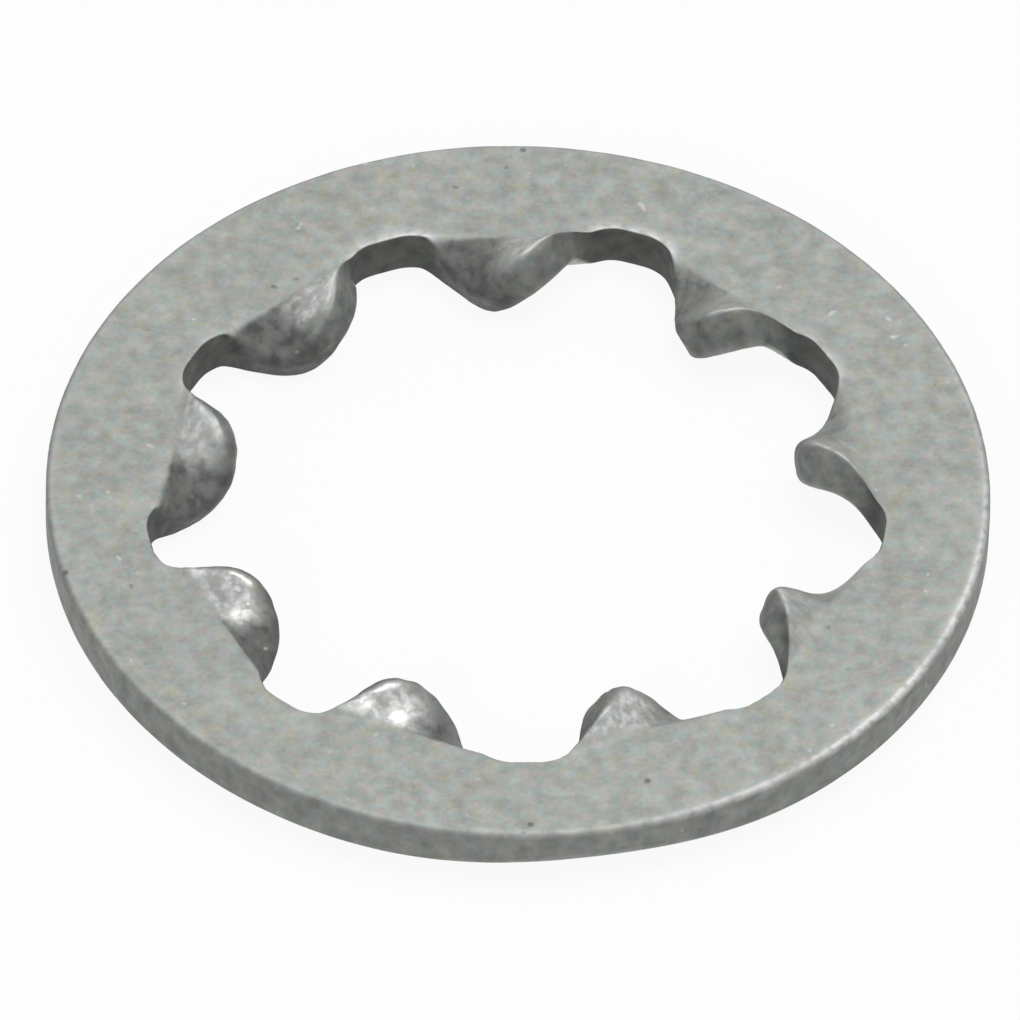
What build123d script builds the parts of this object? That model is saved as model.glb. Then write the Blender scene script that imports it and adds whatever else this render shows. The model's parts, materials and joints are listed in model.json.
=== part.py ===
"""Internal-tooth lock washer for a 10 mm screw.

One stamped piece of spring steel: a flat ring whose teeth point inwards, each twisted
about its own radial line, so that one edge stands above the ring and the other below it.
Millimetres and degrees. The axis is Z, and the washer rests on its lowest tooth edges at z = 0.
"""
from build123d import *
from math import acos, cos, degrees, pi, radians, sin, sqrt
import os

# Ring
outer_diameter = 18.0
root_diameter = 14.1        # circle of the gaps between the teeth
thickness = 0.9             # of the sheet
rim_round = 0.12            # upper rim edge, where the punch drew the sheet in

# Teeth, as blanked
tooth_count = 9
first_tooth_angle = 90.0    # bearing of the first tooth from +X
bore_diameter = 11.18       # clear circle inside the tooth tips
tooth_end_radius = 1.32
root_fillet = 0.66
tip_flat = 0.64             # width trimmed straight across each tooth end

# Teeth, as twisted
twist_angle = 42.5
twist_length = 0.88         # radial length over which a tooth turns to its full angle
crease_angle = 23.0         # how far round each root fillet, from its top, the crease starts
twist_axis_offset = 0.09    # twist line to the tooth's centre line, towards the raised edge
tip_lift = 0.18             # how much higher than the ring a tooth's end stands
section_count = 11          # sections that carry the twist

# Plan of one tooth on the X axis: the end arc runs straight into the root fillets
outer_radius = outer_diameter / 2
root_radius = root_diameter / 2
tip_x = bore_diameter / 2
end_centre = tip_x + sqrt(tooth_end_radius**2 - (tip_flat / 2) ** 2)
fillet_orbit = root_radius - root_fillet
centre_distance = tooth_end_radius + root_fillet
fillet_bearing = acos(
    (fillet_orbit**2 + end_centre**2 - centre_distance**2) / (2 * fillet_orbit * end_centre)
)
fillet_x = fillet_orbit * cos(fillet_bearing)
fillet_y = fillet_orbit * sin(fillet_bearing)
neck_x = end_centre + (fillet_x - end_centre) * tooth_end_radius / centre_distance
crease_x = fillet_x + root_fillet * cos(radians(crease_angle))
pitch_angle = 360 / tooth_count
tooth_spots = PolarLocations(0, tooth_count, first_tooth_angle)


def half_width(x):
    """Half the blank's width at the distance x from the washer's axis."""
    if x < neck_x:
        return sqrt(tooth_end_radius**2 - (end_centre - x) ** 2)
    return fillet_y - sqrt(root_fillet**2 - (x - fillet_x) ** 2)


def twist_at(x):
    """Twist of the tooth at x: it starts sharply at the crease and eases into the full angle."""
    rest = max(1 - (crease_x - x) / twist_length, 0)
    return twist_angle * (1 - rest**2)


def lift_at(x):
    """Height of the tooth's twist line above the middle of the ring's sheet."""
    return tip_lift * (crease_x - x) / (crease_x - tip_x)


def blank_plan():
    """The ring seen from above, with the short flat roots of the teeth up to their creases."""
    bearing = degrees(fillet_bearing)
    fillet_turn = crease_angle + bearing
    crease_y = half_width(crease_x)
    crease = Line((crease_x, -crease_y), (crease_x, crease_y))
    fillet_left = CenterArc((fillet_x, fillet_y), root_fillet, -crease_angle, fillet_turn)
    fillet_right = CenterArc((fillet_x, -fillet_y), root_fillet, -bearing, fillet_turn)
    gap = CenterArc((0, 0), root_radius, bearing, pitch_angle - 2 * bearing)
    one_pitch = Curve() + [crease, fillet_left, fillet_right, gap]
    opening = Curve() + [spot * one_pitch for spot in tooth_spots]
    return Circle(outer_radius) - make_face(opening)


def tooth_section(x):
    """The sheet's cross-section at x, turned about the twist line. The -Y edge rises."""
    turn = radians(twist_at(x))
    plane = Plane(
        origin=(x, -twist_axis_offset, thickness / 2 + lift_at(x)),
        x_dir=(0, -cos(turn), sin(turn)),
        z_dir=(-1, 0, 0),
    )
    return plane * Pos(-twist_axis_offset, 0) * Rectangle(2 * half_width(x), thickness)


def twisted_tooth():
    """One tooth from its crease to its tip, with its sheared sides tilted by the twist."""
    shares = [(1 - cos(pi * i / (section_count - 1))) / 2 for i in range(section_count)]
    stations = [crease_x + (tip_x - crease_x) * share for share in shares]
    return loft([tooth_section(x) for x in stations])


blank = extrude(blank_plan(), thickness)
upper_rim = blank.edges().filter_by(GeomType.CIRCLE).group_by(Axis.Z)[-1].sort_by(SortBy.RADIUS)[-1]
blank = fillet(upper_rim, rim_round)
tooth = twisted_tooth()
lock_washer = blank + [spot * tooth for spot in tooth_spots]
lock_washer = Pos(0, 0, -lock_washer.bounding_box().min.Z) * lock_washer
lock_washer.label = "lock_washer"

os.makedirs("parts", exist_ok=True)
export_step(lock_washer, "parts/lock_washer.step")
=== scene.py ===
"""Dresses the internal-tooth lock washer: twisted teeth, punched edges and a matt zinc finish."""

import json
from math import acos, cos, pi, radians, sin, sqrt, tau

import bpy
import numpy as np
from bpy.props import (
    FloatProperty,
    FloatVectorProperty,
    IntProperty,
    PointerProperty,
)
from bpy.types import Operator, Panel, PropertyGroup
from mathutils import Matrix, Vector


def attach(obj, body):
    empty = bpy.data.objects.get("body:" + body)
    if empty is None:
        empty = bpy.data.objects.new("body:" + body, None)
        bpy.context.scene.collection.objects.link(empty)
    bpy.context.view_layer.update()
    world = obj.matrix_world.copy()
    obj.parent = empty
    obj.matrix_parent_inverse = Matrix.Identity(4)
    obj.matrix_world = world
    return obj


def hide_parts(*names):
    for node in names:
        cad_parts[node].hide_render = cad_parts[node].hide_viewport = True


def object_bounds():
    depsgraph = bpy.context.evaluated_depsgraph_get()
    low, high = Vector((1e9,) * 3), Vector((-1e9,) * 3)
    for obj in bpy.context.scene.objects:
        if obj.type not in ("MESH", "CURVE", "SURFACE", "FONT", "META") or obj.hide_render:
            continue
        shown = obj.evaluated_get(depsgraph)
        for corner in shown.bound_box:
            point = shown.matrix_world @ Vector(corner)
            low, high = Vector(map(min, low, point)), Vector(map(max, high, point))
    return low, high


bl_info = {
    "name": "Internal-Tooth Lock Washer",
    "version": (1, 0, 0),
    "blender": (4, 5, 0),
    "location": "View3D > Sidebar > Lock Washer",
    "description": "Makes the washer's twisted teeth, its punched edges and its zinc finish",
    "category": "Add Mesh",
}

MM = 0.001
NODE = "lock_washer"
SLOT = "zinc_plated_steel"

# How each tooth strays from the pattern, counted anticlockwise from the first tooth.
TWISTS = (-1, -0.4, 2, -2, -5.5, 2.5, 1, -2, -1.5)  # degrees
LEANS = (-0.3, -0.6, -0.1, 0, -0.4, 0.5, 0.4, 0, -0.5)  # degrees
LIFTS = (0, -0.09, -0.05, -0.02, 0.02, -0.05, 0, -0.04, -0.04)  # mm
GAPS = (-0.08, 0.02, 0.09, 0.04, -0.02, 0, 0.03, -0.1, 0.11)  # mm
ROUNDINGS = (1, 1.3, 1.5, 1.7, 2, 2.6, 1, 1, 1)
# Painted shade on each tooth's lowered half.
LOWERED_SHADE = (0.9, 0.9, 0.85, 0.95, 0.7, 0.5, 0.1, 0.15, 0.5)
# Painted glints on each tooth's raised half.
PAINTED_GLINTS = (0.4, 0.8, 0.6, 1, 1, 0.9, 0.25, 0.2, 0.2)

EDGE_PLACES = "Its rounding at a tooth's end, its raised and lowered sides and the gaps"

# Rows of the grid, stretch by stretch round the sheet's section, and its steps along one pitch.
ROWS_WALL, ROWS_UPPER_EDGE, ROWS_TOP, ROWS_RIM_ROUND = 6, 11, 47, 5
ROWS_RIM, ROWS_RIM_FOOT, ROWS_BOTTOM, ROWS_LOWER_EDGE = 7, 4, 27, 7
STEPS_PER_TOOTH = 96

# Stretches of the punched edge where one form gives way to the next. 0 is the middle of a tooth's
# end and 1 is the middle of a gap.
END_TO_SIDE = (0.1, 0.34)
RAISED_SIDE_TO_GAP = (0.42, 0.7)
LOWERED_SIDE_TO_GAP = (0.48, 0.72)
# Where the painted highlight runs along a tooth's raised side and into the gaps.
END_TO_HIGHLIT_SIDE = (0.12, 0.3)
HIGHLIT_SIDE_TO_GAP = (0.5, 0.6)
SIDE_TO_HIGHLIT_GAP = (0.6, 0.75)
LEANING_TO_STILL = (0.5, 0.95)
TOOTH_TO_DEEP_GAP = (0.4, 0.95)

# Parts of a quarter turn round an upper edge over which the sheared look, partly painted shade, and the
# painted highlight fade.
SHEAR_FADE, HIGHLIGHT_FADE, RIM_SHEAR_FADE = (0.4, 1), (0.5, 1), (0, 0.6)

RIM_CUT_AND_SHADE = 0.55  # how sheared the rim's wall is beside the walls of the hole: how much of their darker colour, partly painted shade, it takes, and how torn it is
HOLE_HIGHLIGHT_WIDTH = 0.05  # shares of the way across the ring over which the painted highlight dies away
RIM_HIGHLIGHT_WIDTH = 0.022
LEAST_RIM_HIGHLIGHT = 0.1  # painted highlight on the rim's upper edge opposite its brightest side
LOWERED_HALF = (-0.2, 0.5)  # where a tooth's lowered half begins and is full, by its end's radius

PULL = 2.4 * MM  # how strongly a line across the ring keeps the direction it has at each end
HELD_BY_RING = 0.35  # share of a root fillet's radius over which the ring stops the twist
LEAN_REACH = 1.2 * MM  # how far past the crease a tooth's lean reaches into the ring
GAP_REACH = (7.0 * MM, 8.6 * MM)  # radii between which a gap's own depth fades out
SHIFT_REACH = (7.4 * MM, 8.8 * MM)  # radii between which the hole's shift fades out

# How strongly the painted highlights and glints, the dark specks, the painted mottled shade on the teeth's
# lowered halves and the dark spots at the nicks show.
PATCH_GLINT, SPECK_GLINT = 0.9, 0.5
SPECK_DIRT, MOTTLED_SHADE, NICK_DARKNESS = 0.45, 0.6, 0.6

# How far the zinc's patterns swing its tone, and how high they stand beside the bump's height.
GRAIN_TONE, SHEARED_GRAIN_TONE, FINE_TONE, CLOUD_TONE, SHADE_MOTTLE_TONE = 0.8, 0.9, 0.3, 0.2, 1.5
GRAIN_HEIGHT, FINE_HEIGHT, PATCH_HEIGHT, SPECK_HEIGHT, DIRT_DEPTH = 0.6, 0.2, 0.6, 0.4, 0.3
TWIST_SHADE = 0.15  # how much darker the twisted teeth are painted, as shade on their tilted faces
TOOTH_WALLS_LESS_SHADED = 0.4  # how much less the walls of the teeth take the darker sheared colour, which is partly painted shade

CEILING = (0.1, 0.6)  # where the dim ceiling begins and is full, from 0 at the horizon to 1 overhead
CLIP_RATIO = 10  # the camera sees from its distance over this to its distance times this

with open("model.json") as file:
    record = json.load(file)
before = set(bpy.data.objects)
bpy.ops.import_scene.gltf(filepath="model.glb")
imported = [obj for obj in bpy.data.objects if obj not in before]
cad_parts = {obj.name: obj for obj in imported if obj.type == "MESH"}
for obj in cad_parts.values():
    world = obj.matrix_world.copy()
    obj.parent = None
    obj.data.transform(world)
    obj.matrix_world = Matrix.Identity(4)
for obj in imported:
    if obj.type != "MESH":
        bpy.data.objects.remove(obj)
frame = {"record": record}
cad_low, cad_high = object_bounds()
mount_height = {mount["name"]: mount["pos_m"][2] for mount in frame["record"]["mounts"]}
sheet_top = mount_height["upper_face"]
sheet_bottom = mount_height["lower_face"]
rim_radius = (cad_high.x - cad_low.x) / 2


def length(name, description, default_mm):
    """A size property in metres, with its default given in millimetres."""
    return FloatProperty(
        name=name, description=description, default=default_mm * MM, subtype="DISTANCE", unit="LENGTH"
    )


def angle(name, description, default_degrees):
    """An angle property in radians, with its default given in degrees."""
    return FloatProperty(
        name=name, description=description, default=radians(default_degrees), subtype="ANGLE"
    )


def fraction(name, description, default):
    """A property from 0 to 1."""
    return FloatProperty(
        name=name, description=description, default=default, min=0, max=1, subtype="FACTOR"
    )


def wattage(name, description, default):
    """A lamp's power, in watts."""
    return FloatProperty(name=name, description=description, default=default, unit="POWER")


def colour(name, description, default):
    """A colour property."""
    return FloatVectorProperty(
        name=name, description=description, default=default, size=3, min=0, max=1, subtype="COLOR"
    )


def each_length(name, description, defaults_mm):
    """A size for each tooth or place, in metres, with the defaults given in millimetres."""
    defaults = [value * MM for value in defaults_mm]
    return FloatVectorProperty(
        name=name, description=description, default=defaults, size=len(defaults), unit="LENGTH"
    )


def each_fraction(name, description, defaults):
    """A value from 0 to 1 for each tooth."""
    return FloatVectorProperty(
        name=name, description=description, default=defaults, size=len(defaults), min=0, max=1
    )


def each_angle(name, description, defaults_degrees):
    """An angle for each tooth or place, in radians, with the defaults given in degrees."""
    defaults = [radians(value) for value in defaults_degrees]
    return FloatVectorProperty(
        name=name, description=description, default=defaults, size=len(defaults), unit="ROTATION"
    )


class WasherSizes(PropertyGroup):
    """The washer as punched and twisted, and where each tooth strays from the pattern."""

    tooth_count: IntProperty(name="Teeth", description="Number of teeth", default=9, min=3)
    first_tooth: angle("First tooth", "Bearing of the first tooth from +X", 90.57)
    root_radius: length("Root radius", "Radius of the gaps between the teeth", 7.005)
    tip_radius: length("Tip radius", "Clear radius inside the tooth tips", 5.438)
    tooth_end_radius: length("Tooth end", "Radius of a tooth's rounded end", 1.295)
    root_fillet: length("Root fillet", "Radius of the corners where a tooth leaves the ring", 0.783)
    tip_flat: length("Tip flat", "Width trimmed straight across each tooth end", 0.307)
    tip_corner: length("Tip corner", "Radius of the corners of that flat", 0.74)
    twist: angle("Twist", "Full twist of a tooth about its radial line", 43.5)
    twist_length: length("Twist length", "Radial length over which a tooth turns", 1.225)
    twist_ease: FloatProperty(
        name="Twist ease", description="How sharply the twist starts", default=3.43, min=1
    )
    crease_angle: angle("Crease", "How far round each root fillet the crease starts", 9.6)
    crease_round: length("Crease rounding", "Radial length over which the crease is rounded", 0.18)
    axis_offset: length("Twist line", "How far the twist line lies to the raised side of the middle", 0.184)
    tip_lift: length("Tip lift", "How much higher than the ring a tooth's end stands", 0.295)
    bulge: length("Bulge", "How much a tooth arches upwards between its crease and its end", 0.048)
    camber: length("Camber", "How far a tooth's sides are pressed down below its middle", 0.095)
    upper_edge: each_length("Upper edge", EDGE_PLACES, (0.36, 0.153, 0.27, 0.06))
    lower_edge: each_length("Lower edge", EDGE_PLACES, (0.256, 0.173, 0.173, 0.035))
    edge_width: FloatProperty(
        name="Edge width", description="Width of the upper rounding by its height", default=0.87
    )
    rim_round: length("Rim rounding", "Rounding of the upper rim edge", 0.12)
    unevenness: fraction("Unevenness", "How much the roundings swell and shrink along the edges", 0.035)
    hole_shift: FloatVectorProperty(
        name="Hole shift",
        description="How far the hole was punched off the rim's centre",
        default=(-0.026 * MM, -0.105 * MM),
        size=2,
        subtype="XYZ_LENGTH",
        unit="LENGTH",
    )
    more_twist: each_angle("More twist", "Twist of each tooth beyond the full twist", TWISTS)
    lean: each_angle("Lean", "How far round each tooth leans off its place", LEANS)
    more_lift: each_length("More lift", "Height of each tooth's end beyond the tip lift", LIFTS)
    # Painted shade on each tooth's lowered half.
    lowered_shade: each_fraction("Dullness", "How dull each tooth's lowered half is", LOWERED_SHADE)
    # Painted glints on each tooth's raised half.
    painted_glints: each_fraction("Sparkle", "How much of each tooth's raised half shines in flecks", PAINTED_GLINTS)
    more_rounding: FloatVectorProperty(
        name="More rounding",
        description="Each tooth's raised upper edge: its rounding by the common one",
        default=ROUNDINGS,
        size=len(ROUNDINGS),
    )
    gap_depth: each_length("Gap depth", "How much deeper the gap after each tooth was punched", GAPS)
    worn_bearing: angle("Worn place", "Bearing of the place where the rim's lower edge is knocked", -80.8)
    worn_width: angle("Worn width", "How far round the rim that place reaches each way", 23.8)
    worn_round: length("Worn rounding", "Rounding of the lower rim edge there", 0.322)
    # Where the painted highlights on the rim's and the gaps' upper edges are brightest.
    highlight_bearing: angle("Rubbed side", "Bearing where the rim's upper edge is rubbed most", -35)
    highlight_width: angle("Rubbed width", "How far round the rim that side reaches each way", 55)
    highlit_gaps: angle("Rubbed gaps", "Bearing of the gaps whose upper edges are rubbed most", 85)
    highlit_gaps_width: angle("Rubbed gaps width", "How far round the hole those gaps reach each way", 90)
    hammering: length("Hammering", "Depth of the small hollows on the twisted teeth", 0.008)
    tearing: length("Tearing", "Depth of the roughness on the punched walls", 0.014)
    waviness: length("Waviness", "Depth of the ring's gentle hollows", 0.004)


class FinishSettings(PropertyGroup):
    """The zinc coat, its specks and nicks, and its painted highlights, glints and shade."""

    zinc: colour("Zinc", "Matt zinc on the flat faces", (0.465, 0.449, 0.434))
    green_zinc: colour("Greenish zinc", "Where the coat is a little greener", (0.408, 0.464, 0.441))
    yellow_zinc: colour("Yellowish zinc", "Where the coat is a little yellower", (0.453, 0.457, 0.380))
    # The sheared walls' darker colour, partly painted shade.
    sheared_and_shaded: colour("Sheared walls", "Darker zinc on the punched walls", (0.090, 0.096, 0.088))
    # Colour of the painted shade on the teeth's lowered halves.
    strained_and_shaded: colour("Twisted teeth", "Zinc dulled where a tooth was twisted", (0.165, 0.172, 0.163))
    # Colour of the painted highlights and glints.
    pale: colour("Pale flecks", "Zinc crystals that shine out", (0.93, 0.93, 0.92))
    # Colour of the dark specks, of the painted mottled shade on the teeth's lowered halves and of the dark
    # spots at the nicks.
    dirt_and_shade_colour: colour("Dark spots", "Dirt in the hollows and pits", (0.075, 0.08, 0.074))
    roughness: fraction("Roughness", "Roughness of the matt coat", 0.68)
    rubbed_roughness: fraction("Rubbed roughness", "Roughness where the raised halves are rubbed", 0.3)
    metallic: fraction("Metallic", "How metallic the matt coat looks", 0.3)
    rubbed_metallic: fraction("Rubbed metallic", "How metallic the rubbed metal looks", 0.6)
    grain: length("Grain", "Size of the coat's crystals", 0.34)
    fleck: length("Fleck", "Size of the bright and dark flecks", 0.2)
    # The patches carry the painted glints and the painted mottled shade on the teeth.
    patch: length("Patch", "Size of the rubbed patches on the twisted teeth", 0.36)
    cloud: length("Cloud", "Size of the paler and darker clouds", 1.3)
    bump: length("Bump", "Height of the coat's grain", 0.012)
    nick_bearings: each_angle("Nick bearings", "Where the rim's nicks lie", (-89.4, -73.1, 88.5, -165.2))
    nick_radii: each_length("Nick radii", "How far from the axis they lie", (8.70, 7.94, 8.82, 8.92))
    nick: length("Nick", "Radius of a nick", 0.09)


class StageSettings(PropertyGroup):
    """Camera, lamps and floor."""

    elevation: angle("Elevation", "Camera height above the horizon", 47.2)
    bearing: angle("Bearing", "Bearing of the camera from +X, seen from above", -92.01)
    roll: angle("Roll", "Turn of the camera about its own line of sight", 1.51)
    distance: length("Distance", "Camera to the ring's upper face", 400)
    view_width: length("View width", "Width of the view at the washer", 19.416)
    view_right: length("View right", "View centre to the washer's axis, to the right", -0.146)
    view_up: length("View up", "View centre to the ring's upper face, upwards", -0.492)
    floor: colour("Floor", "Colour of the floor", (0.86, 0.86, 0.86))
    floor_width: length("Floor width", "Width of the floor", 3000)
    floor_glow: fraction("Floor glow", "How near to pure white the floor is shown", 0.92)
    sky: fraction("Sky", "Strength of the even light from all round", 0.4)
    ceiling: fraction("Ceiling", "How bright the metal sees the ceiling, beside a white backdrop", 0.35)
    lamp_power: wattage("Lamp power", "Power of the lamp above", 0.125)
    lamp_distance: length("Lamp distance", "Lamp above to the washer", 160)
    lamp_width: length("Lamp width", "Width of the lamp above", 90)
    lamp_height: length("Lamp height", "Height of the lamp above, along its tilt", 90)
    lamp_elevation: angle("Lamp elevation", "Height of the lamp above the horizon", 78)
    lamp_bearing: angle("Lamp bearing", "Bearing of the lamp from +X, seen from above", -20)
    window_power: wattage("Window power", "Power of the light in front", 0.065)
    window_distance: length("Window distance", "Light in front to the washer", 250)
    window_width: length("Window width", "Width of the light in front", 100)
    window_height: length("Window height", "Height of the light in front", 50)
    window_elevation: angle("Window elevation", "Height of the light in front above the horizon", 36)
    window_bearing: angle("Window bearing", "Bearing of the light in front, from +X", -112)
    fill_power: wattage("Fill power", "Power of the light on the left", 0.03)
    fill_distance: length("Fill distance", "Light on the left to the washer", 250)
    fill_width: length("Fill width", "Width of the light on the left", 200)
    fill_height: length("Fill height", "Height of the light on the left", 200)
    fill_elevation: angle("Fill elevation", "Height of the light on the left above the horizon", 35)
    fill_bearing: angle("Fill bearing", "Bearing of the light on the left, from +X", 175)


def half_tooth(sizes, distance):
    """Half a pitch of the punched opening, for a tooth that points along X.

    distance runs along the edge from the middle of the tooth's end to the middle of the gap: a
    straight flat, its corner, the end arc, the root fillet and the gap arc, each tangent to the
    next. Gives the edge as x + iy, and a unit direction out of the metal, which is square to the
    arcs and aims away from the end arc's centre across the flat and its corners. Gives also the
    whole distance to the middle of the gap, and the centre of the root fillet.
    """
    end_radius, corner = sizes.tooth_end_radius, sizes.tip_corner
    fillet, root, half_flat = sizes.root_fillet, sizes.root_radius, sizes.tip_flat / 2
    corner_centre = complex(sizes.tip_radius + corner, half_flat)
    end_centre = corner_centre.real + sqrt((end_radius - corner) ** 2 - half_flat**2)
    orbit = root - fillet
    reach = end_radius + fillet
    bearing = acos((orbit**2 + end_centre**2 - reach**2) / (2 * orbit * end_centre))
    fillet_centre = orbit * np.exp(1j * bearing)
    to_corner = np.angle(corner_centre - end_centre)
    to_fillet = np.angle(fillet_centre - end_centre)
    arc_lengths = (
        corner * (pi - to_corner),
        end_radius * (to_corner - to_fillet),
        fillet * (bearing - (to_fillet - pi)),
        root * (pi / sizes.tooth_count - bearing),
    )
    ends = half_flat + np.cumsum([0, *arc_lengths])
    turns = (
        np.exp(1j * (pi - (distance - ends[0]) / corner)),
        np.exp(1j * (to_corner - (distance - ends[1]) / end_radius)),
        np.exp(1j * (to_fillet - pi + (distance - ends[2]) / fillet)),
        np.exp(1j * (bearing + (distance - ends[3]) / root)),
    )
    stretches = [
        sizes.tip_radius + 1j * distance,
        corner_centre + corner * turns[0],
        end_centre + end_radius * turns[1],
        fillet_centre + fillet * turns[2],
    ]
    where = [distance < end for end in ends[:4]]
    edge = np.select(where, stretches, root * turns[3])
    from_end = (edge - end_centre) / np.abs(edge - end_centre)
    outward = np.select(where[2:], [from_end, -turns[2]], -turns[3])
    return edge, outward, ends[-1], fillet_centre


def punched_edge(sizes):
    """The whole opening: the half tooth mirrored, at even steps along the edge, tooth by tooth.

    Gives the steps, from -1 to 1 over one pitch with 0 in the middle of the tooth's end, the edge
    and its outward direction there in the tooth's own plan (tooth along X), the turns that take
    each tooth to its place, and the centre of a root fillet.
    """
    total = half_tooth(sizes, np.zeros(1))[2]
    steps = np.linspace(-1, 1, STEPS_PER_TOOTH, endpoint=False)
    edge, outward, _, fillet_centre = half_tooth(sizes, np.abs(steps) * total)
    edge = np.where(steps < 0, edge.conj(), edge)
    outward = np.where(steps < 0, outward.conj(), outward)
    bearings = sizes.first_tooth + np.arange(sizes.tooth_count) * tau / sizes.tooth_count
    return steps, edge, outward, np.exp(1j * bearings), fillet_centre


def ripple(points, wavelength, seed, waves=24):
    """A smooth random height of about unit size: plane waves in random directions, added up.

    Their wave numbers spread from 0.6 to 1.5 times that of the given wavelength.
    """
    random = np.random.default_rng(seed)
    ways = random.normal(size=(waves, 3))
    wave_numbers = tau / wavelength * random.uniform(0.6, 1.5, waves)
    ways *= (wave_numbers / np.linalg.norm(ways, axis=1))[:, None]
    phases = random.uniform(0, tau, waves)
    return np.sin(points @ ways.T + phases).sum(axis=-1) * sqrt(2 / waves)


def smooth_step(low, high, value):
    """0 below low and 1 above high, with a smooth rise between them."""
    rise = np.clip((value - low) / (high - low), 0, 1)
    return rise * rise * (3 - 2 * rise)


def in_space(flat, height):
    """Points x + iy and their heights, as x, y and z."""
    return np.stack([flat.real, flat.imag, np.broadcast_to(height, flat.shape)], axis=-1)


def fading(flat, near, far):
    """1 nearer the axis than near and 0 beyond far, with a smooth fall between them."""
    return 1 - smooth_step(near, far, np.abs(flat))


def round_about(ways, bearing, width):
    """1 at a bearing and less to both sides of it, by exp(-2 (angle off it / width)**2).

    ways are unit directions in plan, as x + iy.
    """
    away = (np.angle(ways) - bearing + pi) % tau - pi
    return np.exp(-2 * (away / width) ** 2)


def each_tooth(sizes, values):
    """One value for each tooth, laid out to go with arrays of teeth by rows by steps."""
    return np.resize(values, sizes.tooth_count)[:, None, None]


def rounding(edge, steps, more_raised=1):
    """A rounding at every step, from those at a tooth's end, its two sides and the gaps.

    That of the raised side is multiplied by more_raised.
    """
    end, raised, lowered, gap = edge
    off = np.abs(steps)
    side = np.where(steps < 0, raised * more_raised, lowered)
    in_gap = np.where(
        steps < 0, smooth_step(*RAISED_SIDE_TO_GAP, off), smooth_step(*LOWERED_SIDE_TO_GAP, off)
    )
    on_end = 1 - smooth_step(*END_TO_SIDE, off)
    return gap + (side - gap) * (1 - in_gap) + (end - side) * on_end


def section_rows(sizes, upper, lower, rim, rim_foot, hole_highlight, rim_highlight):
    """One trip round the sheet's section, for every tooth and step.

    Rows go up the punched wall, round its upper edge, out over the upper face, down the rim and
    back under. Gives arrays of teeth by rows by steps: across is how far a point lies from the
    opening to the rim, inset and outset are its distances from those two, height is its height
    above the middle of the sheet, the cut mark is 1 on sheared metal, which the finish paints
    darker partly as shade, and the last mark is the painted highlight: the two given highlights
    along the crests of the two upper edges, dying away from them as exp(-distance / width).
    upper, lower, rim and rim_foot are the roundings, in teeth by one row by steps.
    """
    half = (sheet_top - sheet_bottom) / 2
    rows = []

    def add(count, *values):
        shape = (upper.shape[0], count, upper.shape[-1])
        rows.append(np.stack([np.broadcast_to(value, shape) for value in values]))

    def quarter(count):
        done = np.linspace(0, 1, count, endpoint=False)[:, None]
        return 1 - np.cos(done * pi / 2), 1 - np.sin(done * pi / 2), done

    def even(start, end, count):
        return start + (end - start) * np.linspace(0, 1, count, endpoint=False)[:, None]

    add(ROWS_WALL, 0, 0, 0, even(lower - half, half - upper, ROWS_WALL), 1, 0)
    rise, fall, done = quarter(ROWS_UPPER_EDGE)
    width = sizes.edge_width * upper
    cut = 1 - smooth_step(*SHEAR_FADE, done)
    # Painted highlight along the crest of the hole's upper edge.
    worn = smooth_step(*HIGHLIGHT_FADE, done) * hole_highlight
    add(ROWS_UPPER_EDGE, 0, width * rise, 0, half - upper * fall, cut, worn)
    out = even(0, 1, ROWS_TOP)
    # Painted highlights, dying away from the hole's and the rim's upper edges.
    worn = hole_highlight * np.exp(-out / HOLE_HIGHLIGHT_WIDTH) + rim_highlight * np.exp((out - 1) / RIM_HIGHLIGHT_WIDTH)
    add(ROWS_TOP, out, width, rim, half, 0, worn)
    rise, fall, done = quarter(ROWS_RIM_ROUND)
    cut = RIM_CUT_AND_SHADE * smooth_step(*RIM_SHEAR_FADE, done)
    add(ROWS_RIM_ROUND, 1, 0, rim * fall, half - rim * rise, cut, (1 - done) * rim_highlight)
    add(ROWS_RIM, 1, 0, 0, even(half - rim, rim_foot - half, ROWS_RIM), RIM_CUT_AND_SHADE, 0)
    rise, fall, done = quarter(ROWS_RIM_FOOT)
    add(ROWS_RIM_FOOT, 1, 0, rim_foot * rise, rim_foot * fall - half, RIM_CUT_AND_SHADE * (1 - done), 0)
    add(ROWS_BOTTOM, even(1, 0, ROWS_BOTTOM), lower, rim_foot, -half, 0, 0)
    rise, fall, done = quarter(ROWS_LOWER_EDGE)
    add(ROWS_LOWER_EDGE, 0, lower * fall, 0, lower * rise - half, done, 0)
    return np.concatenate(rows, axis=2)


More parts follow.
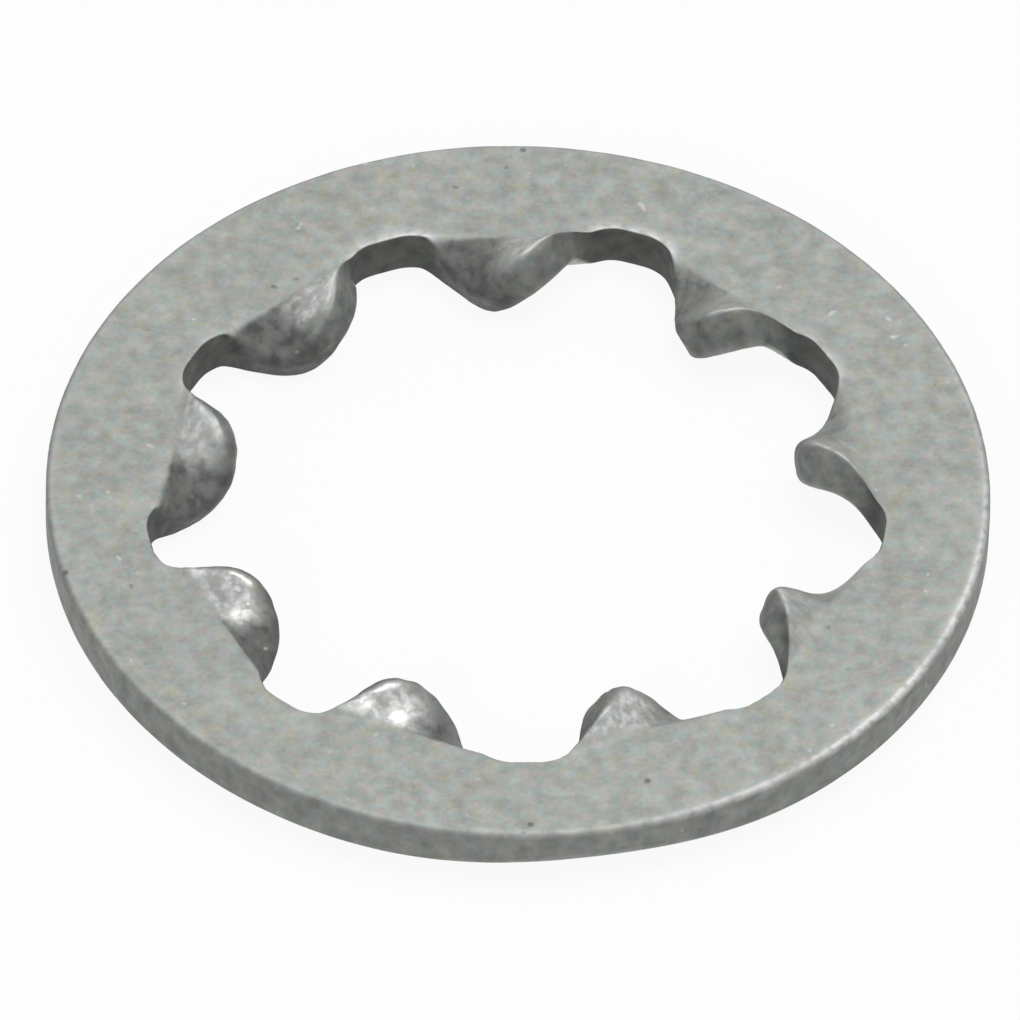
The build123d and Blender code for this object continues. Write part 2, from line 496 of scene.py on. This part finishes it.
def worn_section(sizes, steps, edge, rim_way, turns):
    """The section's rows with this washer's roundings: uneven, drawn round and knocked, with painted
    highlights.

    A painted highlight runs along the hole's upper edge on the raised side of each tooth and in the
    gaps round one bearing, and along the rim's upper edge all round, brightest round another bearing.
    """

    def swelling(places, wavelength, seed):
        ripples = ripple(in_space(places, 0), wavelength, seed)
        return 1 + sizes.unevenness * np.clip(ripples, -2, 2)

    ways = rim_way * turns
    drawn = rounding(sizes.upper_edge, steps, each_tooth(sizes, sizes.more_rounding))
    on_raised_side = smooth_step(*END_TO_HIGHLIT_SIDE, -steps) * (1 - smooth_step(*HIGHLIT_SIDE_TO_GAP, -steps))
    in_gap = np.where(
        steps < 0, smooth_step(*HIGHLIT_SIDE_TO_GAP, -steps), smooth_step(*SIDE_TO_HIGHLIT_GAP, steps)
    )
    # Where the painted highlights on the gaps' and the rim's upper edges are brightest.
    highlit_gaps = in_gap * round_about(ways, sizes.highlit_gaps, sizes.highlit_gaps_width)
    highlit_rim = round_about(ways, sizes.highlight_bearing, sizes.highlight_width)
    knocked = round_about(ways, sizes.worn_bearing, sizes.worn_width)
    return section_rows(
        sizes,
        upper=drawn * swelling(edge * turns, wavelength=0.5 * MM, seed=1),
        lower=rounding(sizes.lower_edge, steps) * swelling(edge * turns, wavelength=0.7 * MM, seed=6),
        rim=sizes.rim_round * swelling(rim_radius * rim_way * turns, wavelength=1 * MM, seed=2),
        rim_foot=sizes.lower_edge[3] + sizes.worn_round * knocked,
        hole_highlight=on_raised_side + highlit_gaps,
        rim_highlight=LEAST_RIM_HIGHLIGHT + (1 - LEAST_RIM_HIGHLIGHT) * highlit_rim,
    )


def across_ring(start, end, start_way, end_way, across):
    """Points x + iy on the lines from the opening to the rim, at the shares given by across.

    Each line is a cubic that leaves its start and reaches its end in the given directions.
    """
    rest = 1 - across
    return (
        start * rest**2 * (1 + 2 * across)
        + start_way * PULL * across * rest**2
        + end * across**2 * (3 - 2 * across)
        - end_way * PULL * across**2 * rest
    )


def twisted_teeth(sizes, plan, height, crease, fillet_side):
    """The teeth pressed, turned and lifted, in their own plans (tooth along X).

    The arm is a point's distance from the twist line. A tooth's sides are pressed down by the
    camber * (arm / end radius)**2, and it is turned about the twist line: twist = full twist *
    (1 - (1 - q)**ease), where q is the distance d inside the crease over the twist length, with
    d softened to d**2 / (d + crease rounding). The twist line climbs evenly to the tip and
    arches by the bulge. Gives the points' plan and height, how much of the twist each has, and
    how far it belongs to the tooth's lowered half.
    """
    inside = np.maximum(crease - plan.real, 0)
    depth = inside**2 / (inside + sizes.crease_round)
    held_from = fillet_side - HELD_BY_RING * sizes.root_fillet
    free = 1 - smooth_step(held_from, fillet_side, np.abs(plan.imag))
    twisted = (1 - np.clip(1 - depth / sizes.twist_length, 0, 1) ** sizes.twist_ease) * free
    twist = (sizes.twist + each_tooth(sizes, sizes.more_twist)) * twisted
    done = depth / (crease - sizes.tip_radius)
    arch = 4 * sizes.bulge * np.clip(done * (1 - done), 0, 1)
    climb = (sizes.tip_lift + each_tooth(sizes, sizes.more_lift)) * done
    arm = plan.imag + sizes.axis_offset
    height = height - sizes.camber * (arm / sizes.tooth_end_radius) ** 2 * twisted
    turned = arm * np.cos(twist) + height * np.sin(twist) - sizes.axis_offset
    raised = height * np.cos(twist) - arm * np.sin(twist) + (climb + arch) * free
    lowered = smooth_step(*LOWERED_HALF, arm / sizes.tooth_end_radius)
    return plan.real + 1j * turned, raised, twisted, lowered


def strayed(sizes, flat, steps, crease):
    """Leans each tooth and deepens each gap by its own amount, and shifts the hole.

    flat holds points x + iy in their places round the ring. All three fade out across the ring.
    """
    leaning = 1 - smooth_step(*LEANING_TO_STILL, np.abs(steps))
    leaning = leaning * fading(flat, crease, crease + LEAN_REACH)
    flat = flat * np.exp(1j * each_tooth(sizes, sizes.lean) * leaning)
    gap_after = each_tooth(sizes, sizes.gap_depth)
    deeper = np.where(steps < 0, np.roll(gap_after, 1, axis=0), gap_after)
    deeper = deeper * smooth_step(*TOOTH_TO_DEEP_GAP, np.abs(steps)) * fading(flat, *GAP_REACH)
    flat = flat * (1 + deeper / np.abs(flat))
    return flat + complex(*sizes.hole_shift) * fading(flat, *SHIFT_REACH)


def washer_surface(sizes):
    """The washer's surface over two parameters: steps round the opening and rows round the section.

    In plan, a line leaves the opening square to its edge and reaches the rim along the radius.
    The teeth are then twisted, and they and the gaps stray from their pattern. Gives the points,
    and from 0 to 1 how far each is twisted, glossy with painted glints, in painted shade, on
    sheared metal painted darker partly as shade, and under a painted highlight.
    """
    steps, edge, outward, turns, fillet_centre = punched_edge(sizes)
    turns = turns[:, None, None]
    rim_way = np.exp(1j * steps * pi / sizes.tooth_count)
    rows = worn_section(sizes, steps, edge, rim_way, turns)
    across, inset, outset, height, cut, worn = rows
    start = edge - outward * inset
    end = rim_way * (rim_radius - outset)
    plan = across_ring(start, end, -outward, rim_way, across)
    crease = fillet_centre.real + sizes.root_fillet * cos(sizes.crease_angle)
    plan, height, twisted, lowered = twisted_teeth(sizes, plan, height, crease, fillet_centre.imag)
    flat = strayed(sizes, plan * turns, steps, crease)
    points = in_space(flat, height + (sheet_top + sheet_bottom) / 2)

    def whole(values):
        """Puts the tooth, row and step axes in the order of the grid: all steps, then rows."""
        return values.swapaxes(1, 2).reshape(-1, across.shape[1], *values.shape[3:])

    marks = {
        "twisted": twisted,
        # Gloss and painted glints on the raised halves.
        "sparkling": (1 - lowered) * each_tooth(sizes, sizes.painted_glints),
        # Painted shade on the lowered halves.
        "dull": lowered * each_tooth(sizes, sizes.lowered_shade),
        # Sheared metal, painted darker partly as shade.
        "cut": cut,
        # Painted highlights along the upper edges.
        "worn": worn,
    }
    return whole(points), {name: whole(values) for name, values in marks.items()}


def roughened(points, marks, sizes):
    """Sinks each point along its normal by seeded ripples, so nothing rises above the plain surface.

    The normal is the cross product of the grid's two directions. The ripples are long and shallow
    all over, short on the twisted metal, and drawn out up and down on the walls.
    """
    along = np.roll(points, -1, axis=0) - np.roll(points, 1, axis=0)
    across = np.roll(points, -1, axis=1) - np.roll(points, 1, axis=1)
    normal = np.cross(across, along)
    normal /= np.linalg.norm(normal, axis=-1, keepdims=True)

    def hollows(wavelength, seed, stretch=1):
        """From 0 on the ripples' crests to 1 in their troughs, drawn out upwards by the stretch."""
        return np.clip(0.5 + 0.25 * ripple(points * (1, 1, 1 / stretch), wavelength, seed), 0, 1)

    hammered = marks["twisted"] * (1 - marks["cut"])
    torn = marks["cut"] ** 2
    depth = sizes.waviness * hollows(wavelength=1.1 * MM, seed=3)
    depth += sizes.hammering * hollows(wavelength=0.34 * MM, seed=4) * hammered
    depth += sizes.tearing * hollows(wavelength=0.26 * MM, seed=5, stretch=2) * torn
    return points - normal * depth[..., None]


def closed_grid(name, points, marks):
    """A mesh from points on a grid that closes on itself both ways, with its faces outwards.

    marks are named values at the points, which the finish reads.
    """
    around, across = points.shape[:2]
    index = np.arange(around * across).reshape(around, across)
    ahead = np.roll(index, -1, axis=0)
    corners = [index, np.roll(index, -1, axis=1), np.roll(ahead, -1, axis=1), ahead]
    quads = np.stack(corners, axis=-1)
    mesh = bpy.data.meshes.new(name)
    mesh.from_pydata(points.reshape(-1, 3), [], quads.reshape(-1, 4))
    mesh.polygons.foreach_set("use_smooth", np.ones(index.size, bool))
    for mark, values in marks.items():
        attribute = mesh.attributes.new(mark, "FLOAT", "POINT")
        attribute.data.foreach_set("value", values.astype(np.float32).ravel())
    mesh.update()
    return mesh


class Signal:
    """One output of a node. Python's arithmetic on it adds the Math nodes that it stands for."""

    def __init__(self, paint, socket):
        self.paint = paint
        self.socket = socket

    def math(self, operation, *values):
        """A Math node's output, for the given operation on the given values."""
        return self.paint.node("ShaderNodeMath", dict(enumerate(values)), operation=operation)

    def __add__(self, other):
        return self.math("ADD", self, other)

    def __radd__(self, other):
        return self.math("ADD", other, self)

    def __sub__(self, other):
        return self.math("SUBTRACT", self, other)

    def __rsub__(self, other):
        return self.math("SUBTRACT", other, self)

    def __mul__(self, other):
        return self.math("MULTIPLY", self, other)

    def __rmul__(self, other):
        return self.math("MULTIPLY", other, self)

    def or_more(self, other):
        """The larger of the two signals."""
        return self.math("MAXIMUM", self, other)

    def partly(self, share):
        """The signal, with only the given share of its way down from 1."""
        return (1 - share) + share * self

    def rise(self, low, high):
        """0 where the signal is below low and 1 where it is above high, smooth between."""
        values = {"Value": self, "From Min": low, "From Max": high}
        return self.paint.node("ShaderNodeMapRange", values, interpolation_type="SMOOTHSTEP")


class Paint:
    """The nodes of a material or a world."""

    def __init__(self, owner):
        owner.use_nodes = True
        self.owner = owner
        self.tree = owner.node_tree
        self.tree.nodes.clear()

    def node(self, kind, values=None, output=0, **settings):
        """Adds a node, sets it up, then gives its sockets their values or links. Returns one output."""
        node = self.tree.nodes.new(kind)
        for name, value in settings.items():
            setattr(node, name, value)
        for name, value in (values or {}).items():
            if isinstance(value, Signal):
                self.tree.links.new(value.socket, node.inputs[name])
            else:
                node.inputs[name].default_value = value
        return Signal(self, node.outputs[output]) if node.outputs else node

    def mark(self, name):
        """A mesh mark's value."""
        return self.node("ShaderNodeAttribute", output="Fac", attribute_name=name)

    def noise(self, place, size, detail=2.0, roughness=0.5):
        """Smooth noise from 0 to 1, with features of about the given size."""
        values = {"Vector": place, "Scale": 1 / size, "Detail": detail, "Roughness": roughness}
        return self.node("ShaderNodeTexNoise", values)

    def blend(self, factor, below, above):
        """One colour where factor is 0 and another where it is 1."""
        values = {0: factor, 6: as_colour(below), 7: as_colour(above)}
        return self.node("ShaderNodeMix", values, output=2, data_type="RGBA")

    def near(self, place, point, radius):
        """1 within two fifths of the radius round a point, falling to 0 at the radius."""
        values = {0: place, 1: point}
        distance = self.node("ShaderNodeVectorMath", values, output="Value", operation="DISTANCE")
        return 1 - distance.rise(0.4 * radius, radius)


def as_colour(value):
    """A colour's three parts with a fourth for opacity. A signal stays as it is."""
    return value if isinstance(value, Signal) else (*value, 1)


class ZincPatterns:
    """What the zinc's look depends on: the mesh's marks and some noises, each from 0 to 1.

    The fine noise and the two tints take their sizes from the grain's, and the specks from the
    flecks'. Here and below, the two numbers of a rise are the pattern's values where a look begins
    to show and where it is full.
    """

    def __init__(self, paint, finish):
        self.place = place = paint.node("ShaderNodeTexCoord", output="Object")
        self.cut = paint.mark("cut")
        self.worn = paint.mark("worn")
        twisted = paint.mark("twisted")
        sparkling = paint.mark("sparkling")
        uncut = 1 - self.cut
        self.strained_and_shaded = twisted.rise(0.05, 0.4)
        # Painted shade on the teeth's lowered halves.
        self.dulled = twisted.rise(0.01, 0.14) * paint.mark("dull")
        self.glossy = self.strained_and_shaded * sparkling * uncut
        # Where the painted glints lie: by the creases of the raised halves.
        self.by_crease = twisted.rise(0.02, 0.3) * (1 - twisted.rise(0.88, 0.99)) * uncut * sparkling
        self.grain = paint.noise(place, finish.grain, detail=3)
        self.fine = paint.noise(place, 0.3 * finish.grain, detail=1)
        self.green = paint.noise(place, 0.6 * finish.grain, detail=2)
        self.yellow = paint.noise(place, 0.9 * finish.grain, detail=2)
        self.cloud = paint.noise(place, finish.cloud, detail=3)
        self.patches = paint.noise(place, finish.patch, detail=2, roughness=0.6)
        self.flecks = paint.noise(place, finish.fleck, detail=3)
        specks = paint.noise(place, 1.1 * finish.fleck, detail=0)
        # Specks that stand for zinc nodules, painted near white as glints.
        self.glinting_specks = specks.rise(0.8, 0.93)
        self.dark_specks = 1 - specks.rise(0.05, 0.17)


def painted_highlights(on):
    """Painted highlights and glints: along the edges' crests, by the creases of the teeth, and in specks.
    """
    crests = on.worn * on.flecks.rise(0.3, 0.6).partly(0.65) * on.cloud.rise(0.36, 0.5).partly(0.4)
    flecked = on.by_crease * on.flecks.rise(0.38, 0.72).partly(0.75)
    patched = on.by_crease * on.patches.rise(0.53, 0.66) * PATCH_GLINT
    specked = on.glinting_specks * (1 - on.cut) * SPECK_GLINT
    return crests.or_more(flecked).or_more(patched).or_more(specked)


def zinc_dirt_and_shade(paint, finish, on):
    """How dark the coat is made: dark specks, painted mottled shade on the teeth's lowered halves, and dark
    spots at the rim's nicks.
    """
    dirt_and_shade = on.dark_specks * SPECK_DIRT
    # Painted mottled shade on the teeth's lowered halves.
    dirt_and_shade = dirt_and_shade.or_more((1 - on.patches.rise(0.34, 0.48)) * on.dulled * MOTTLED_SHADE)
    for bearing, radius in zip(finish.nick_bearings, finish.nick_radii):
        nick = (radius * cos(bearing), radius * sin(bearing), sheet_top)
        dirt_and_shade = dirt_and_shade.or_more(paint.near(on.place, nick, finish.nick) * NICK_DARKNESS)
    return dirt_and_shade


def zinc_coat(paint, finish, on):
    """The coat's colour: two faint tints, painted shade on the twisted teeth, most on their lowered halves,
    the sheared walls' darker colour, partly painted shade, and an uneven tone.
    """
    coat = paint.blend(on.green.rise(0.38, 0.62), finish.zinc, finish.green_zinc)
    coat = paint.blend(on.yellow.rise(0.52, 0.7), coat, finish.yellow_zinc)
    # Painted shade on the teeth's lowered halves.
    coat = paint.blend(on.dulled, coat, finish.strained_and_shaded)
    # The sheared walls' darker colour, partly painted shade.
    coat = paint.blend(on.cut * (1 - TOOTH_WALLS_LESS_SHADED * on.strained_and_shaded), coat, finish.sheared_and_shaded)
    tone = 1 + (on.grain - 0.5) * (GRAIN_TONE + SHEARED_GRAIN_TONE * on.cut * on.cut)
    tone = tone + (on.fine - 0.5) * FINE_TONE + (on.cloud - 0.5) * CLOUD_TONE
    # Mottled painted shade on the teeth's lowered halves.
    tone = tone + (on.patches - 0.5) * on.dulled * SHADE_MOTTLE_TONE
    # Painted shade on the twisted teeth.
    tone = tone * (1 - TWIST_SHADE * on.strained_and_shaded)
    return paint.node("ShaderNodeVectorMath", {0: coat, "Scale": tone}, operation="SCALE")


def zinc_finish(finish):
    """Matt zinc: cloudy and finely grained, with specks painted as glints, dark specks, and sheared walls
    painted darker, partly as shade.

    The twisted teeth carry painted shade, most on their lowered halves, and painted glints in patches by
    their creases; painted highlights run along the edges.
    """
    paint = Paint(bpy.data.materials.new(SLOT))
    on = ZincPatterns(paint, finish)
    dirt_and_shade = zinc_dirt_and_shade(paint, finish, on)
    # Painted highlights and glints.
    coat = paint.blend(painted_highlights(on), zinc_coat(paint, finish, on), finish.pale)
    # Dark specks and nick spots, and painted mottled shade.
    coat = paint.blend(dirt_and_shade, coat, finish.dirt_and_shade_colour)
    roughness = finish.roughness + (finish.rubbed_roughness - finish.roughness) * on.glossy
    metallic = finish.metallic + (finish.rubbed_metallic - finish.metallic) * on.glossy
    height = on.grain * GRAIN_HEIGHT + on.fine * FINE_HEIGHT
    height = height + on.patches * on.strained_and_shaded * PATCH_HEIGHT
    height = height + on.glinting_specks * SPECK_HEIGHT - dirt_and_shade * DIRT_DEPTH
    bump = paint.node("ShaderNodeBump", {"Height": height, "Distance": finish.bump, "Strength": 1.0})
    surface = paint.node(
        "ShaderNodeBsdfPrincipled",
        {"Base Color": coat, "Roughness": roughness, "Metallic": metallic, "Normal": bump},
    )
    paint.node("ShaderNodeOutputMaterial", {"Surface": surface})
    return paint.owner


class LOCKWASHER_OT_washer(Operator):
    """Makes the washer with its twisted teeth and its zinc finish"""

    bl_idname = "lockwasher.washer"
    bl_label = "Make Washer"

    def execute(self, context):
        sizes = context.scene.lockwasher_sizes
        points, marks = washer_surface(sizes)
        mesh = closed_grid("twisted_washer", roughened(points, marks, sizes), marks)
        mesh.materials.append(zinc_finish(context.scene.lockwasher_finish))
        piece = bpy.data.objects.new("twisted_washer", mesh)
        context.scene.collection.objects.link(piece)
        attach(piece, "root")
        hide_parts(NODE)
        return {"FINISHED"}


def make_camera(settings):
    """The camera, aimed at the middle of the ring's upper face and moved off it by the view offsets."""
    camera = bpy.data.objects.new("camera", bpy.data.cameras.new("camera"))
    bpy.context.scene.collection.objects.link(camera)
    outwards, upwards = cos(settings.elevation), sin(settings.elevation)
    back = Vector((cos(settings.bearing) * outwards, sin(settings.bearing) * outwards, upwards))
    right = Vector((-sin(settings.bearing), cos(settings.bearing), 0))
    up = back.cross(right)
    place = Vector((0, 0, sheet_top)) + back * settings.distance
    place += right * settings.view_right + up * settings.view_up
    aim = Matrix((right, up, back)).transposed().to_4x4()
    camera.matrix_world = Matrix.Translation(place) @ aim @ Matrix.Rotation(settings.roll, 4, "Z")
    camera.data.lens = camera.data.sensor_width * settings.distance / settings.view_width
    camera.data.clip_start = settings.distance / CLIP_RATIO
    camera.data.clip_end = settings.distance * CLIP_RATIO
    bpy.context.scene.camera = camera


def rays(paint, *kinds):
    """1 for rays of any of the given kinds and 0 for the rest."""
    matches = sum(paint.node("ShaderNodeLightPath", output=f"Is {kind} Ray") for kind in kinds)
    return matches.rise(0, 1)


def make_floor(settings):
    """A wide flat floor under the washer, which shows near white and keeps a soft shadow."""
    half = settings.floor_width / 2
    mesh = bpy.data.meshes.new("floor")
    corners = [(-half, -half, 0), (half, -half, 0), (half, half, 0), (-half, half, 0)]
    mesh.from_pydata(corners, [], [(0, 1, 2, 3)])
    paint = Paint(bpy.data.materials.new("pale_floor"))
    matt = paint.node("ShaderNodeBsdfDiffuse", {"Color": as_colour(settings.floor)})
    glow = paint.node("ShaderNodeEmission", {"Color": (1, 1, 1, 1), "Strength": 1.0})
    clear = paint.node("ShaderNodeBsdfTransparent")
    seen = rays(paint, "Camera", "Glossy", "Transmission")
    shown = paint.node("ShaderNodeMixShader", {0: seen * settings.floor_glow, 1: matt, 2: glow})
    below = paint.node("ShaderNodeNewGeometry", output="Backfacing")
    shown = paint.node("ShaderNodeMixShader", {0: below, 1: shown, 2: clear})
    paint.node("ShaderNodeOutputMaterial", {"Surface": shown})
    mesh.materials.append(paint.owner)
    floor = bpy.data.objects.new("floor", mesh)
    bpy.context.scene.collection.objects.link(floor)


def make_sky(settings):
    """Even light from all round. It shows white, but for the dim ceiling that the metal reflects."""
    paint = Paint(bpy.data.worlds.new("sky"))
    bpy.context.scene.world = paint.owner
    way = paint.node("ShaderNodeTexCoord", output="Generated")
    upwards = paint.node("ShaderNodeSeparateXYZ", {0: way}, output="Z")
    reflected = rays(paint, "Glossy", "Transmission")
    seen = rays(paint, "Camera")
    room = 1 + (settings.ceiling - 1) * upwards.rise(*CEILING)
    strength = settings.sky + (room - settings.sky) * reflected + (1 - settings.sky) * seen
    light = paint.node("ShaderNodeBackground", {"Color": (1, 1, 1, 1), "Strength": strength})
    paint.node("ShaderNodeOutputWorld", {"Surface": light})


def make_lamp(name, power, distance, width, height, elevation, bearing):
    """A soft rectangular lamp aimed at the washer."""
    lamp = bpy.data.lights.new(name, "AREA")
    lamp.shape = "RECTANGLE"
    lamp.size = width
    lamp.size_y = height
    lamp.energy = power
    piece = bpy.data.objects.new(name, lamp)
    bpy.context.scene.collection.objects.link(piece)
    way = Vector((cos(bearing) * cos(elevation), sin(bearing) * cos(elevation), sin(elevation)))
    piece.location = way * distance
    piece.rotation_mode = "QUATERNION"
    piece.rotation_quaternion = way.to_track_quat("Z", "Y")


class LOCKWASHER_OT_stage(Operator):
    """Makes the floor, the light and the camera"""

    bl_idname = "lockwasher.stage"
    bl_label = "Make Stage"

    def execute(self, context):
        settings = context.scene.lockwasher_stage
        make_floor(settings)
        make_sky(settings)
        for name in ("lamp", "window", "fill"):
            sizes = ("power", "distance", "width", "height", "elevation", "bearing")
            make_lamp(name, *(getattr(settings, f"{name}_{size}") for size in sizes))
        make_camera(settings)
        context.scene.view_settings.view_transform = "Standard"
        return {"FINISHED"}


class LOCKWASHER_PT_panel(Panel):
    """Lists the steps in order, each above its settings"""

    bl_idname = "LOCKWASHER_PT_panel"
    bl_label = "Lock Washer"
    bl_space_type = "VIEW_3D"
    bl_region_type = "UI"
    bl_category = "Lock Washer"

    def draw(self, context):
        scene = context.scene
        steps = {
            LOCKWASHER_OT_washer: (scene.lockwasher_sizes, scene.lockwasher_finish),
            LOCKWASHER_OT_stage: (scene.lockwasher_stage,),
        }
        for step, groups in steps.items():
            box = self.layout.box()
            box.operator(step.bl_idname)
            for group in groups:
                for setting in type(group).__annotations__:
                    box.prop(group, setting)


CLASSES = (
    WasherSizes,
    FinishSettings,
    StageSettings,
    LOCKWASHER_OT_washer,
    LOCKWASHER_OT_stage,
    LOCKWASHER_PT_panel,
)


def register():
    """Adds the classes and the scene's settings."""
    for kind in CLASSES:
        bpy.utils.register_class(kind)
    bpy.types.Scene.lockwasher_sizes = PointerProperty(type=WasherSizes)
    bpy.types.Scene.lockwasher_finish = PointerProperty(type=FinishSettings)
    bpy.types.Scene.lockwasher_stage = PointerProperty(type=StageSettings)


def unregister():
    """Removes them again."""
    del bpy.types.Scene.lockwasher_stage
    del bpy.types.Scene.lockwasher_finish
    del bpy.types.Scene.lockwasher_sizes
    for kind in reversed(CLASSES):
        bpy.utils.unregister_class(kind)


def main():
    """Builds the washer and its stage."""
    register()
    bpy.ops.lockwasher.washer()
    bpy.ops.lockwasher.stage()


if __name__ == "__main__":
    main()
